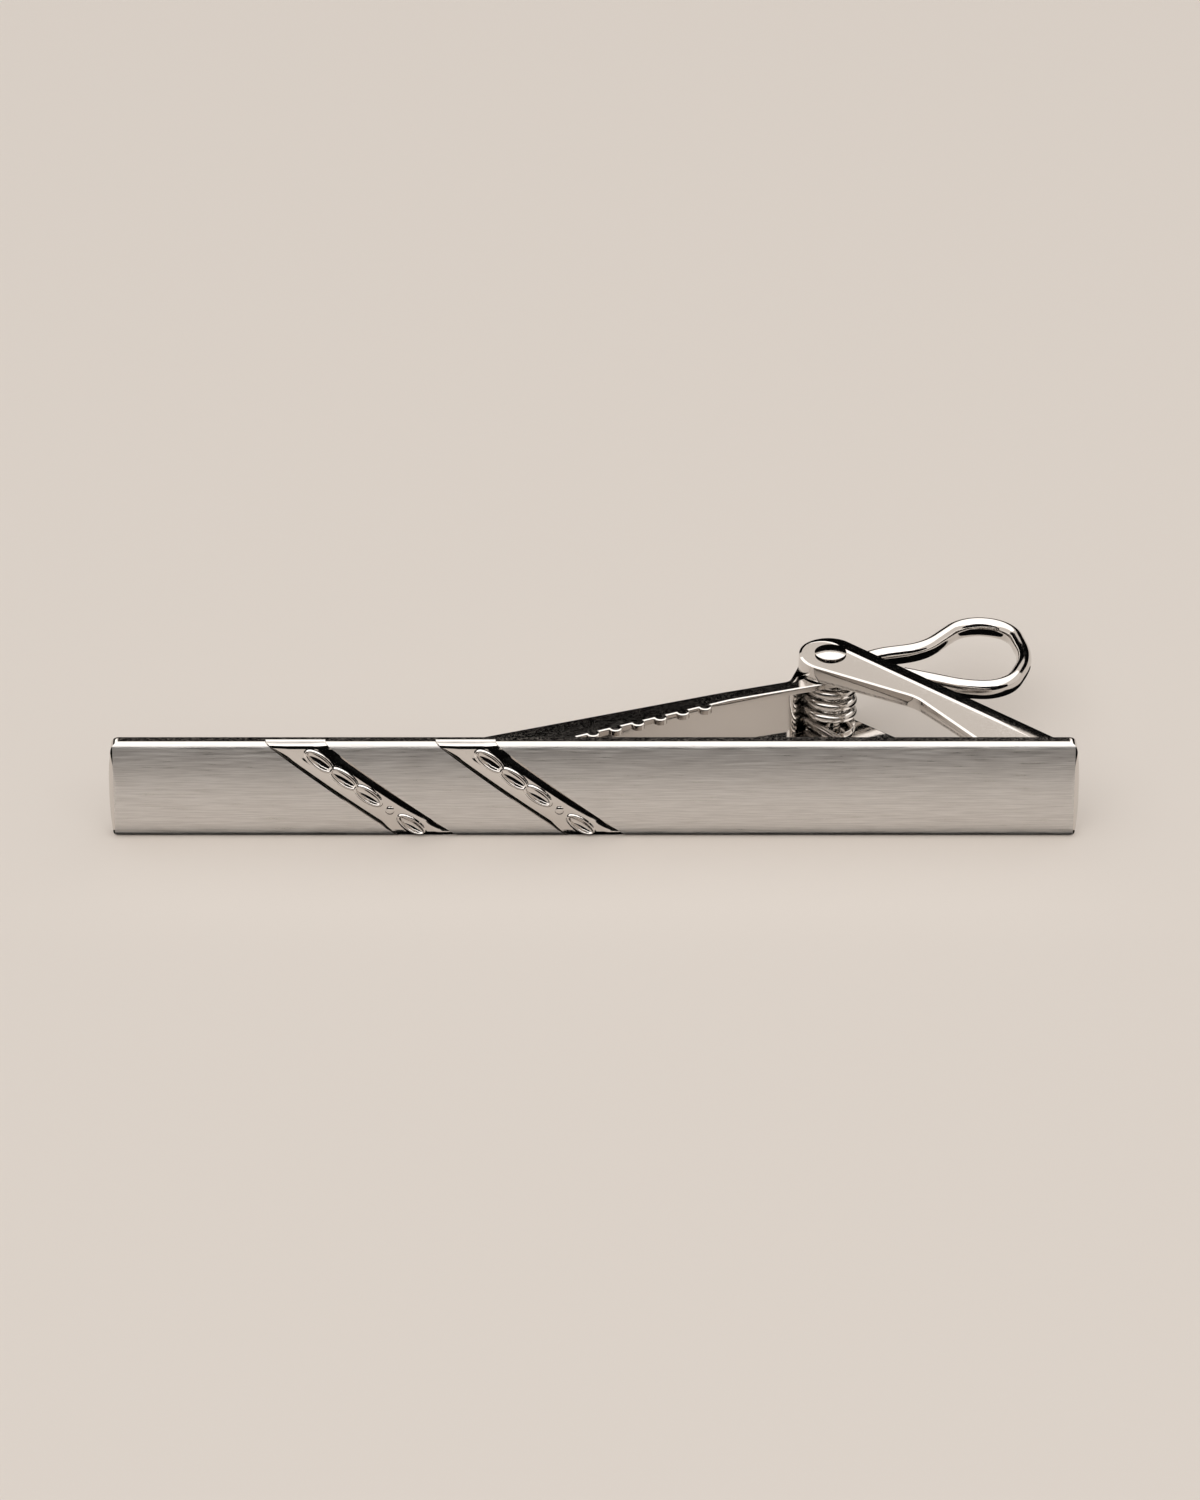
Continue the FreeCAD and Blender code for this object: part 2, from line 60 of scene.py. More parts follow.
def linear(hex_colour):
    """sRGB hex colour as linear RGBA."""
    channels = [int(hex_colour[i:i + 2], 16) / 255 for i in (1, 3, 5)]
    curve = [c / 12.92 if c <= 0.04045 else ((c + 0.055) / 1.055) ** 2.4 for c in channels]
    return (*curve, 1.0)


def add_node(tree, kind, settings=None, inputs=None):
    """Adds a node, sets its properties, and gives its inputs a value or a link."""
    node = tree.nodes.new(kind)
    for name, value in (settings or {}).items():
        setattr(node, name, value)
    for name, value in (inputs or {}).items():
        if isinstance(value, bpy.types.NodeSocket):
            tree.links.new(value, node.inputs[name])
        else:
            node.inputs[name].default_value = value
    return node


bpy.ops.object.select_all(action="DESELECT")
bpy.ops.mesh.primitive_plane_add(size=1, location=(0, TABLE_MIDDLE, 0))
table = bpy.context.object
table.name = "paper_table"
table.scale = (TABLE_LENGTH, TABLE_DEPTH, 1)
bpy.ops.object.transform_apply(location=True, rotation=False, scale=True)
paper = bpy.data.materials.new("warm_grey_paper")
paper.use_nodes = True
surface = paper.node_tree.nodes["Principled BSDF"]
surface.inputs["Base Color"].default_value = linear("#DBD3CB")
surface.inputs["Roughness"].default_value = 0.9
surface.inputs["Specular IOR Level"].default_value = 0.1
table.data.materials.append(paper)

black_card = bpy.data.materials.new("black_card")
black_card.use_nodes = True
tree = black_card.node_tree
surface = tree.nodes["Principled BSDF"]
surface.inputs["Base Color"].default_value = linear("#0B0B0B")
surface.inputs["Roughness"].default_value = 1.0
surface.inputs["Specular IOR Level"].default_value = 0.0
rays = add_node(tree, "ShaderNodeLightPath")
bounced = add_node(tree, "ShaderNodeMath", {"operation": "MINIMUM"}, {
    0: rays.outputs["Diffuse Depth"], 1: 1.0,
})
clear = add_node(tree, "ShaderNodeBsdfTransparent")
either = add_node(tree, "ShaderNodeMixShader", None, {
    "Fac": bounced.outputs[0], 1: surface.outputs[0], 2: clear.outputs[0],
})
tree.links.new(either.outputs[0], tree.nodes["Material Output"].inputs["Surface"])


def black_flag(name, place, size, tilt):
    """A black card hidden from the camera, which only the polished metal sees."""
    bpy.ops.object.select_all(action="DESELECT")
    bpy.ops.mesh.primitive_plane_add(size=1, location=place, rotation=(tilt, 0, 0))
    card = bpy.context.object
    card.name = name
    card.scale = (*size, 1)
    bpy.ops.object.transform_apply(location=True, rotation=True, scale=True)
    card.data.materials.append(black_card)
    card.visible_camera = False
    card.visible_diffuse = False
    card.visible_shadow = False


# A black card on the paper in front of the bar, in view but hidden from the camera: a painted dark
# reflection, the dark band across the bar's brushed face.
black_flag("front_table_card", (0, -0.156, 0.0006), (1.6, 0.288), 0)
black_flag("front_card", (0, -0.30, 0.125), (1.6, 0.25), math.pi / 2)
# A black card on the paper under the thumb loop, in view but hidden from the camera: painted dark
# reflections on the loop's wire.
black_flag("loop_card", (0.02375, 0.014, 0.0006), (0.0125, 0.010), 0)
# A black card under the bar's foot, seen only in its rounded lower edge: painted contact shade, the
# dark line along the bottom of the bar.
black_flag("painted_contact_shade_card", (0, -0.0002, 0.00005), (0.0585, 0.0018), 0)
black_flag("rear_card", (0, 0.55, 0.168), (1.6, 0.336), math.pi / 2)

world = bpy.data.worlds.new("pale_room")
bpy.context.scene.world = world
world.use_nodes = True
tree = world.node_tree
rays = add_node(tree, "ShaderNodeLightPath")
seen = add_node(tree, "ShaderNodeMath", {"operation": "MAXIMUM"}, {
    0: rays.outputs["Is Camera Ray"], 1: rays.outputs["Is Glossy Ray"],
})
shown = add_node(tree, "ShaderNodeMath", {"operation": "MAXIMUM"}, {
    0: seen.outputs[0], 1: rays.outputs["Is Transmission Ray"],
})
strength = add_node(tree, "ShaderNodeMapRange", None,
                    {"Value": shown.outputs[0], "To Min": 0.35, "To Max": 1.1})
backdrop = tree.nodes["Background"]
backdrop.inputs["Color"].default_value = linear("#DBD3CB")
tree.links.new(strength.outputs[0], backdrop.inputs["Strength"])


def soft_box(name, place, aim, size, power):
    """A rectangular soft light at a place, aimed at a point."""
    lamp = bpy.data.lights.new(name, "AREA")
    lamp.shape = "RECTANGLE"
    lamp.size, lamp.size_y = size
    lamp.energy = power
    holder = bpy.data.objects.new(name, lamp)
    bpy.context.collection.objects.link(holder)
    holder.location = place
    way = [a - p for a, p in zip(aim, place)]
    flat = math.hypot(way[0], way[1])
    holder.rotation_euler = (math.atan2(flat, -way[2]), 0, math.atan2(-way[0], way[1]))
    return holder


soft_box("overhead_box", (0, 0.1, 0.62), (0, 0.099, 0), (1.9, 1.4), 7.8)
soft_box("front_box", (0, -0.55, 0.40), (0, 0, 0), (1.2, 0.4), 1.5)

# Camera
# A long lens looks down at the bar from the front, 30 degrees above the table. It is set by the
# bar's length in the picture.

PIXELS_PER_MM = 16.76
PHOTO_HEIGHT = 1500
SENSOR = 36.0
camera_distance = 450 * MM
camera_height = math.radians(30)
aim = (0.36 * MM, 0, 5.66 * MM)
bpy.ops.object.camera_add(
    location=(
        aim[0],
        aim[1] - camera_distance * math.cos(camera_height),
        aim[2] + camera_distance * math.sin(camera_height),
    ),
    rotation=(math.pi / 2 - camera_height, 0, 0),
)
camera = bpy.context.object
camera.data.sensor_width = SENSOR
camera.data.lens = SENSOR * camera_distance / (PHOTO_HEIGHT / PIXELS_PER_MM * MM)
camera.data.clip_start = 0.01
bpy.context.scene.camera = camera
bpy.context.scene.view_settings.view_transform = "Standard"

# Front plate
# A crowned bar of plated steel, pressed and then brushed along its length with a fine belt.
# Its edges are broken by polishing, so each one catches a thin line of light.

WELD = 0.002
FLAT_ANGLE = math.radians(0.5)
SHARP_ANGLE = math.radians(32)
RIM_REACH = 0.01
ROUND_STEPS = 3
SHEET_SHADE = 40


def broken_edges(node, name, radius, rims=(), rim_radius=0.0):
    """A copy of a metal piece in millimetres, with its sharp edges rounded.

    The rims at the given heights are rounded more."""
    bpy.ops.object.select_all(action="DESELECT")
    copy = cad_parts[node].copy()
    copy.data = copy.data.copy()
    copy.name = name
    copy.data.name = name
    copy.parent = None
    bpy.context.collection.objects.link(copy)
    copy.select_set(True)
    bpy.context.view_layer.objects.active = copy
    copy.scale = (1 / MM, 1 / MM, 1 / MM)
    bpy.ops.object.transform_apply(location=False, rotation=False, scale=True)
    bpy.ops.object.mode_set(mode="EDIT")
    bpy.ops.mesh.select_all(action="SELECT")
    bpy.ops.mesh.remove_doubles(threshold=WELD)
    bpy.ops.mesh.dissolve_limited(angle_limit=FLAT_ANGLE)
    bpy.ops.mesh.select_all(action="DESELECT")
    bpy.ops.object.mode_set(mode="OBJECT")
    shape = bmesh.new()
    shape.from_mesh(copy.data)
    bpy.context.tool_settings.mesh_select_mode = (False, True, False)
    for edge in shape.edges:
        on_rim = any(all(abs(end.co.z - rim) < RIM_REACH for end in edge.verts) for rim in rims)
        edge.select_set(on_rim and edge.calc_face_angle(0) > SHARP_ANGLE)
    shape.to_mesh(copy.data)
    shape.free()
    if rims:
        bpy.ops.object.mode_set(mode="EDIT")
        bpy.ops.mesh.bevel(offset=rim_radius, segments=ROUND_STEPS, clamp_overlap=False)
        bpy.ops.object.mode_set(mode="OBJECT")
    bevel = copy.modifiers.new("broken_edge", "BEVEL")
    bevel.width = radius
    bevel.segments = ROUND_STEPS
    bevel.limit_method = "ANGLE"
    bevel.angle_limit = SHARP_ANGLE
    bevel.use_clamp_overlap = True
    bpy.ops.object.modifier_apply(modifier=bevel.name)
    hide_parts(node)
    return copy


def set_down(piece, smooth_angle):
    """Shades a piece, keeps its flats flat, and brings it from millimetres to its real size."""
    bpy.ops.object.select_all(action="DESELECT")
    piece.select_set(True)
    bpy.context.view_layer.objects.active = piece
    bpy.ops.object.shade_smooth_by_angle(angle=math.radians(smooth_angle))
    flats = piece.modifiers.new("flats", "WEIGHTED_NORMAL")
    flats.keep_sharp = True
    bpy.ops.object.modifier_apply(modifier=flats.name)
    piece.scale = (MM, MM, MM)
    bpy.ops.object.transform_apply(location=False, rotation=False, scale=True)


BAR_HEIGHT = 6.4
MID_Z = BAR_HEIGHT / 2
FACE_Y = -0.65
EDGE_RADIUS = 0.4
EDGE_STOP = 0.005
BAR_BREAK = 0.08
CROWN = 0.2
CROWN_HALF = MID_Z - EDGE_RADIUS
CROWN_RADIUS = (CROWN_HALF ** 2 + CROWN ** 2) / (2 * CROWN)
CROWN_STRIPS = 28
FACET_DEPTH = 0.02
BRUSHED_HALF = 28.7
BRUSHED_TURN = -0.25
CUT_MERGE = 0.0001


def bar_face_y(z):
    """Depth of the bar's crowned face, with its rounded long edges, at a height."""
    from_middle = min(abs(z - MID_Z), MID_Z - EDGE_STOP)
    if from_middle < CROWN_HALF:
        return FACE_Y - CROWN + CROWN_RADIUS - math.sqrt(CROWN_RADIUS ** 2 - from_middle ** 2)
    return FACE_Y + EDGE_RADIUS - math.sqrt(EDGE_RADIUS ** 2 - (from_middle - CROWN_HALF) ** 2)


front_plate = broken_edges("front_plate", "brushed_bar", BAR_BREAK)
bpy.ops.object.mode_set(mode="EDIT")
for strip in range(CROWN_STRIPS + 1):
    level = EDGE_RADIUS + 2 * CROWN_HALF * strip / CROWN_STRIPS
    bpy.ops.mesh.select_all(action="SELECT")
    bpy.ops.mesh.bisect(plane_co=(0, 0, level), plane_no=(0, 0, 1), threshold=CUT_MERGE)
for brush_end in (-BRUSHED_HALF, BRUSHED_HALF):
    bpy.ops.mesh.select_all(action="SELECT")
    bpy.ops.mesh.bisect(plane_co=(brush_end, 0, 0), plane_no=(1, 0, 0), threshold=CUT_MERGE)
bpy.ops.object.mode_set(mode="OBJECT")
for vertex in front_plate.data.vertices:
    true_y = bar_face_y(vertex.co.z)
    if abs(vertex.co.y - true_y) < FACET_DEPTH:
        vertex.co.y = true_y
set_down(front_plate, SHEET_SHADE)

# Belt-brushed plated steel: fine scratches along the bar, which smear the light across them. They are
# drawn coarser than a real belt leaves them, so that they show.
BRUSH_LENGTH = 2.2
BRUSH_WIDTH = 0.08
BRUSH_MAP = 10

brush_map = front_plate.data.uv_layers.new(name="brush_way")
for loop in front_plate.data.loops:
    corner = front_plate.data.vertices[loop.vertex_index].co
    brush_map.data[loop.index].uv = (corner.x / MM / BRUSH_MAP, corner.z / MM / BRUSH_MAP)
brushed = bpy.data.materials.new("belt_brushed_steel")
brushed.use_nodes = True
tree = brushed.node_tree
surface = tree.nodes["Principled BSDF"]
surface.inputs["Metallic"].default_value = 1.0
surface.inputs["Anisotropic"].default_value = 0.8
surface.inputs["Anisotropic Rotation"].default_value = 0.25
way = add_node(tree, "ShaderNodeTangent", {"direction_type": "UV_MAP", "uv_map": "brush_way"})
tree.links.new(way.outputs[0], surface.inputs["Tangent"])
place = add_node(tree, "ShaderNodeTexCoord")
stretch = add_node(tree, "ShaderNodeMapping", None, {
    "Vector": place.outputs["Object"],
    "Scale": (1 / (BRUSH_LENGTH * MM), 1 / (BRUSH_WIDTH * MM), 1 / (BRUSH_WIDTH * MM)),
})
scratches = add_node(tree, "ShaderNodeTexNoise", None, {
    "Vector": stretch.outputs[0], "Scale": 1.0, "Detail": 3.0, "Roughness": 0.6,
})
shine = add_node(tree, "ShaderNodeMapRange", None, {
    "Value": scratches.outputs["Fac"], "From Min": 0.3, "From Max": 0.7, "To Min": 0.27, "To Max": 0.4,
})
tree.links.new(shine.outputs[0], surface.inputs["Roughness"])
tint = add_node(tree, "ShaderNodeValToRGB", None, {"Fac": scratches.outputs["Fac"]})
tint.color_ramp.elements[0].position = 0.3
tint.color_ramp.elements[0].color = linear("#CECBC8")
tint.color_ramp.elements[1].position = 0.7
tint.color_ramp.elements[1].color = linear("#ECE9E6")
tree.links.new(tint.outputs[0], surface.inputs["Base Color"])
ridges = add_node(tree, "ShaderNodeBump", None, {
    "Height": scratches.outputs["Fac"], "Strength": 0.5, "Distance": 0.01 * MM,
})
tree.links.new(ridges.outputs[0], surface.inputs["Normal"])

# Polished rhodium plating: a bright, slightly warm mirror with the faint waves of the polishing wheel.
# Its hairlines are drawn coarser than real ones, so that they show.
WHEEL_WAVE = 1.2
HAIRLINE = 0.15

polished = bpy.data.materials.new("polished_rhodium")
polished.use_nodes = True
tree = polished.node_tree
surface = tree.nodes["Principled BSDF"]
surface.inputs["Base Color"].default_value = linear("#DCD8D4")
surface.inputs["Metallic"].default_value = 1.0
place = add_node(tree, "ShaderNodeTexCoord")
waves = add_node(tree, "ShaderNodeTexNoise", None, {
    "Vector": place.outputs["Object"], "Scale": 1 / (WHEEL_WAVE * MM), "Detail": 1.0,
})
hairlines = add_node(tree, "ShaderNodeTexNoise", None, {
    "Vector": place.outputs["Object"], "Scale": 1 / (HAIRLINE * MM), "Detail": 2.0,
})
shine = add_node(tree, "ShaderNodeMapRange", None, {
    "Value": hairlines.outputs["Fac"], "From Min": 0.3, "From Max": 0.7, "To Min": 0.03, "To Max": 0.1,
})
tree.links.new(shine.outputs[0], surface.inputs["Roughness"])
swell = add_node(tree, "ShaderNodeBump", None, {
    "Height": waves.outputs["Fac"], "Strength": 0.25, "Distance": 0.01 * MM,
})
tree.links.new(swell.outputs[0], surface.inputs["Normal"])

front_plate.data.materials.clear()
front_plate.data.materials.append(brushed)
front_plate.data.materials.append(polished)
for face in front_plate.data.polygons:
    on_face = face.normal.y < BRUSHED_TURN and abs(face.center.x) < BRUSHED_HALF * MM
    face.material_index = 0 if on_face else 1
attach(front_plate, "bar")

# Ornament strips
# Pattern wire in the two slanting grooves: a bright pillow-shaped band with a chain of open oval
# links and a bead, rolled between steel dies, cut to the bar's edges and soldered in.

GROOVE_ANGLE = math.radians(39)
GROOVE_CENTRES = {"ornament_strip_left": -13.85, "ornament_strip_right": -3.7}
BAND_LENGTH = 13.4
BAND_HALF = 1.085
BAND_STEP = 0.04
RIDGE_DEPTH = 0.12
RIDGE_HALF = 0.55
UPPER_SIDE_DROP = 0.26
LOWER_SIDE_DROP = 0.08
SIDE_CURVE = 1.25
FLUSH_RUN = 1.1
FLUSH_SHARE = 0.3
BAND_SHEET = 0.15
BAND_END = 0.05
BAND_SHADE = 50
LINK_CENTRES = (-3.25, -1.4, 0.45, 3.75)
LINK_HALF_LENGTH = 0.95
LINK_HALF_WIDTH = 0.37
LINK_WIRE = 0.11
LINK_RISE = 0.11
LINK_DISH = 0.2
LINK_REACH = 2
BEAD_CENTRE = 2.1
BEAD_RADIUS = 0.28


def band_shape(along, across):
    """Depth of the plain band and rise of the rolled pattern on it, at a place on the band."""
    down_side = max(0.0, (abs(across) - RIDGE_HALF) / (BAND_HALF - RIDGE_HALF))
    drop = UPPER_SIDE_DROP if across > 0 else LOWER_SIDE_DROP
    depth = RIDGE_DEPTH + drop * down_side ** SIDE_CURVE
    from_bead = math.hypot(along - BEAD_CENTRE, across)
    if from_bead < BEAD_RADIUS:
        return depth, LINK_RISE * math.sqrt(1 - (from_bead / BEAD_RADIUS) ** 2)
    rise = 0.0
    for centre in LINK_CENTRES:
        long_part = (along - centre) / LINK_HALF_LENGTH
        wide_part = across / LINK_HALF_WIDTH
        from_centre = math.hypot(long_part, wide_part)
        if from_centre > LINK_REACH:
            continue
        slope = math.hypot(long_part / LINK_HALF_LENGTH, wide_part / LINK_HALF_WIDTH)
        from_wire = (from_centre ** 2 - 1) / max(2 * slope, 1e-6)
        if abs(from_wire) < LINK_WIRE:
            rise = max(rise, LINK_RISE * (1 - (from_wire / LINK_WIRE) ** 2))
        elif from_centre < 1:
            rise = min(rise, -LINK_DISH * (1 - from_centre ** 2))
    return depth, rise


bpy.ops.object.select_all(action="DESELECT")
bpy.ops.mesh.primitive_grid_add(
    x_subdivisions=round(BAND_LENGTH / BAND_STEP),
    y_subdivisions=round(2 * BAND_HALF / BAND_STEP),
    size=1,
)
flat_band = bpy.context.object
flat_band.name = "rolled_band"
flat_band.scale = (BAND_LENGTH, 2 * BAND_HALF, 1)
bpy.ops.object.transform_apply(location=False, rotation=False, scale=True)

for node, groove_centre in GROOVE_CENTRES.items():
    bpy.ops.object.select_all(action="DESELECT")
    band = flat_band.copy()
    band.data = flat_band.data.copy()
    band.name = node.replace("ornament_strip", "pattern_wire")
    bpy.context.collection.objects.link(band)
    band.select_set(True)
    bpy.context.view_layer.objects.active = band
    for vertex in band.data.vertices:
        along, across, _ = vertex.co
        depth, rise = band_shape(along, across)
        x = groove_centre + along * math.cos(GROOVE_ANGLE) + across * math.sin(GROOVE_ANGLE)
        z = MID_Z - along * math.sin(GROOVE_ANGLE) + across * math.cos(GROOVE_ANGLE)
        inside = max(0.0, min(1.0, z / FLUSH_RUN, (BAR_HEIGHT - z) / FLUSH_RUN))
        flush = FLUSH_SHARE + (1 - FLUSH_SHARE) * inside * inside * (3 - 2 * inside)
        vertex.co = (x, bar_face_y(z) + depth * flush - rise, z)
    bpy.ops.object.mode_set(mode="EDIT")
    for level, way_out in ((BAND_END, -1), (BAR_HEIGHT - BAND_END, 1)):
        bpy.ops.mesh.select_all(action="SELECT")
        bpy.ops.mesh.bisect(plane_co=(0, 0, level), plane_no=(0, 0, way_out), clear_outer=True)
    bpy.ops.object.mode_set(mode="OBJECT")
    wall = band.modifiers.new("sheet", "SOLIDIFY")
    wall.thickness = BAND_SHEET
    wall.offset = -1
    bpy.ops.object.modifier_apply(modifier=wall.name)
    bpy.ops.object.shade_smooth_by_angle(angle=math.radians(BAND_SHADE))
    band.scale = (MM, MM, MM)
    bpy.ops.object.transform_apply(location=False, rotation=False, scale=True)
    band.data.materials.append(polished)
    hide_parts(node)
    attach(band, "bar")
bpy.data.objects.remove(flat_band)

# Back plate
# A thin strip of plated brass, rolled flat and soldered to the back of the front plate with a narrow
# step all round. It carries the bracket's foot, and the arm's teeth close on it.

PLATE_BREAK = 0.05

back_plate = broken_edges("back_plate", "soldered_back", PLATE_BREAK)
set_down(back_plate, SHEET_SHADE)
back_plate.data.materials.clear()
back_plate.data.materials.append(polished)
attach(back_plate, "bar")

# Hinge bracket
# One stamping, bent up into two cheeks and soldered by its foot to the bar's back. The upper cheek
# is cut steep in front, and a low lip is struck along its rear edge.

PIN_X = 14.4
PIN_Y = 11.0
NOSE_RADIUS = 1.95
NOSE_STEPS = 24
HEEL = Vector((28.4, 0.95, 0))
FOOT_REAR = Vector((28.4, 0.65, 0))
FOOT_FRONT = Vector((23.3, 0.65, 0))
FRONT_BEND = Vector((19.4, 5.95, 0))
FRONT_BEND_RADIUS = 2.5
FRONT_BEND_STEPS = 8
CHEEK_LOW = 5.1
CHEEK_CUT = 5.3
CHEEK_WALL = 0.35
CHEEK_SHADE = 15
LIP = 0.05
RIM_STEPS = ((0.08, 0.42), (0.12, 0.205), (0.85, 0.085), (0.2, -LIP))
HEEL_STRETCH = 1.4
FRONT_RIM = 0.17
STEEP_FROM = 2
STEEP_OVER = 12
TOUCH = 0.01
BRACKET_BREAK = 0.05
CHEEK_SLOPE = math.tan(math.radians(2.5))
pin_axis = Vector((PIN_X, PIN_Y, 0))


def nose_angle(point, side):
    """Angle on the nose at which a straight edge from a point touches it."""
    out = point - pin_axis
    return math.atan2(out.y, out.x) + side * math.acos(NOSE_RADIUS / out.length)


outline = [FOOT_REAR, HEEL]
rear_angle = nose_angle(HEEL, 1)
front_angle = nose_angle(FRONT_BEND, -1) + 2 * math.pi
for step in range(NOSE_STEPS + 1):
    angle = rear_angle + (front_angle - rear_angle) * step / NOSE_STEPS
    outline.append(pin_axis + Vector((math.cos(angle), math.sin(angle), 0)) * NOSE_RADIUS)
before = (FRONT_BEND - outline[-1]).normalized()
after = (FOOT_FRONT - FRONT_BEND).normalized()
setback = FRONT_BEND_RADIUS * math.tan(before.angle(after) / 2)
for step in range(FRONT_BEND_STEPS + 1):
    share = step / FRONT_BEND_STEPS
    near = FRONT_BEND - before * setback * (1 - share)
    far = FRONT_BEND + after * setback * share
    outline.append(near.lerp(far, share))
outline.append(FOOT_FRONT)

bpy.ops.object.select_all(action="DESELECT")
bpy.ops.mesh.primitive_circle_add(vertices=len(outline), fill_type="NGON")
cheek = bpy.context.object
for vertex, point in zip(cheek.data.vertices, outline):
    vertex.co = point + Vector((0, 0, CHEEK_LOW))
bpy.ops.object.mode_set(mode="EDIT")
bpy.ops.mesh.select_all(action="SELECT")
bpy.ops.mesh.normals_make_consistent(inside=False)
bpy.ops.mesh.extrude_region_move(TRANSFORM_OT_translate={"value": (0, 0, CHEEK_WALL)})
bpy.ops.object.mode_set(mode="OBJECT")
for face in cheek.data.polygons:
    face.select = abs(face.center.z - CHEEK_LOW - CHEEK_WALL) < TOUCH
bpy.context.tool_settings.mesh_select_mode = (False, False, True)
bpy.ops.object.mode_set(mode="EDIT")
for _, upward in RIM_STEPS:
    bpy.ops.mesh.extrude_region_move(TRANSFORM_OT_translate={"value": (0, 0, upward)})
bpy.ops.mesh.select_all(action="SELECT")
bpy.ops.mesh.normals_make_consistent(inside=False)
bpy.ops.object.mode_set(mode="OBJECT")

# Each ring is drawn in from the outline, widely along the rear edge and little in front. The rim
# turns from one form to the other round the nose, over STEEP_OVER points of the outline.
inward_ways = []
for index, point in enumerate(outline):
    arriving = (point - outline[index - 1]).normalized()
    leaving = (outline[(index + 1) % len(outline)] - point).normalized()
    along = (arriving + leaving).normalized()
    inward_ways.append(Vector((-along.y, along.x, 0)))
inward_ways[0] = inward_ways[1] = Vector((-HEEL_STRETCH, 0, 0))
inward_ways[-1] = inward_ways[-2]
inset = 0
level = CHEEK_LOW + CHEEK_WALL
rings = []
for inward, upward in RIM_STEPS:
    inset += inward
    level += upward
    rings.append((level, inset))
face_level = level
for vertex in cheek.data.vertices:
    if vertex.co.z > CHEEK_LOW + CHEEK_WALL + TOUCH:
        above = Vector((vertex.co.x, vertex.co.y, 0))
        nearest = min(range(len(outline)), key=lambda spot: (outline[spot] - above).length)
        ring_inset = min(rings, key=lambda ring: abs(ring[0] - vertex.co.z))[1]
        steepness = min(max((nearest - STEEP_FROM) / STEEP_OVER, 0), 1)
        drawn_in = ring_inset * (1 - steepness * (1 - FRONT_RIM))
        height = min(vertex.co.z, face_level + (1 - steepness) * LIP)
        moved = outline[nearest] + inward_ways[nearest] * drawn_in
        vertex.co = (moved.x, moved.y, height + (moved.y - PIN_Y) * CHEEK_SLOPE)
set_down(cheek, CHEEK_SHADE)

bracket = broken_edges("hinge_bracket", "hinge_bracket_stamping", BRACKET_BREAK)
bpy.ops.object.mode_set(mode="EDIT")
bpy.ops.mesh.select_all(action="SELECT")
bpy.ops.mesh.bisect(plane_co=(0, 0, CHEEK_CUT), plane_no=(0, 0, 1), clear_outer=True, use_fill=True)
bpy.ops.object.mode_set(mode="OBJECT")
set_down(bracket, SHEET_SHADE)
bpy.ops.object.select_all(action="DESELECT")
cheek.select_set(True)
bracket.select_set(True)
bpy.context.view_layer.objects.active = bracket
bpy.ops.object.join()
bracket.data.materials.clear()
bracket.data.materials.append(polished)
for face in bracket.data.polygons:
    face.material_index = 0
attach(bracket, "bar")

# Hinge pin
# Turned steel, plated. It goes through both cheeks and the arm's ears, and is peened to a low head
# at each end, so it stays still while the arm turns on it.

PIN_BREAK = 0.05

pin = broken_edges("hinge_pin", "peened_pin", PIN_BREAK)
set_down(pin, SHEET_SHADE)
pin.data.materials.clear()
pin.data.materials.append(polished)
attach(pin, "bar")

# Torsion spring
# Round plated spring wire, wound on the pin. One leg bears on the bracket's foot and the other lies
# behind the arm, so the arm is pressed shut.

COIL_RADIUS = 1.36
WIRE_RADIUS = 0.31
COIL_LOW = 1.62
COIL_HIGH = 4.28
COIL_START = math.radians(217)
COIL_TURN = math.radians(3 * 360 + 99)
LOW_LEG = 11.0
HIGH_LEG = 2.6
WIRE_SIDES = 20
WINDING_STEPS = 130
END_REACH = 1.02
SEAM_WELD = 0.001
WIRE_SHADE = 50

bpy.ops.object.select_all(action="DESELECT")
bpy.ops.mesh.primitive_circle_add(vertices=WIRE_SIDES, radius=WIRE_RADIUS, rotation=(math.pi / 2, 0, 0))
spring = bpy.context.object
spring.name = "wound_spring"
bpy.ops.object.transform_apply(location=False, rotation=True, scale=False)
spring.data.transform(Matrix.Translation((COIL_RADIUS, 0, COIL_LOW)))
spring.data.transform(Matrix.Rotation(COIL_START, 4, "Z"))
winding = spring.modifiers.new("winding", "SCREW")
winding.angle = -COIL_TURN
winding.screw_offset = COIL_HIGH - COIL_LOW
winding.steps = WINDING_STEPS
winding.render_steps = WINDING_STEPS
bpy.ops.object.modifier_apply(modifier=winding.name)
for angle, height, way_on, length in (
    (COIL_START, COIL_LOW, -1, LOW_LEG),
    (COIL_START - COIL_TURN, COIL_HIGH, 1, HIGH_LEG),
):
    end = Vector((COIL_RADIUS * math.cos(angle), COIL_RADIUS * math.sin(angle), height))
    for vertex in spring.data.vertices:
        vertex.select = (vertex.co - end).length < WIRE_RADIUS * END_REACH
    bpy.context.tool_settings.mesh_select_mode = (True, False, False)
    leg = (way_on * length * math.sin(angle), -way_on * length * math.cos(angle), 0)
    bpy.ops.object.mode_set(mode="EDIT")
    bpy.ops.mesh.edge_face_add()
    bpy.ops.mesh.extrude_region_move(TRANSFORM_OT_translate={"value": leg})
    bpy.ops.mesh.select_all(action="DESELECT")
    bpy.ops.object.mode_set(mode="OBJECT")
bpy.ops.object.mode_set(mode="EDIT")
bpy.ops.mesh.select_all(action="SELECT")
bpy.ops.mesh.remove_doubles(threshold=SEAM_WELD)
bpy.ops.mesh.normals_make_consistent(inside=False)
bpy.ops.object.mode_set(mode="OBJECT")
spring.data.transform(Matrix.Translation((PIN_X, PIN_Y, 0)))
bpy.ops.object.shade_smooth_by_angle(angle=math.radians(WIRE_SHADE))
spring.scale = (MM, MM, MM)
bpy.ops.object.transform_apply(location=False, rotation=False, scale=True)

# Drawn and plated spring wire: a softer shine than the polished sheet, with fine draw lines, which
# are drawn coarser than real ones, so that they show.
DRAW_LINE = 0.12

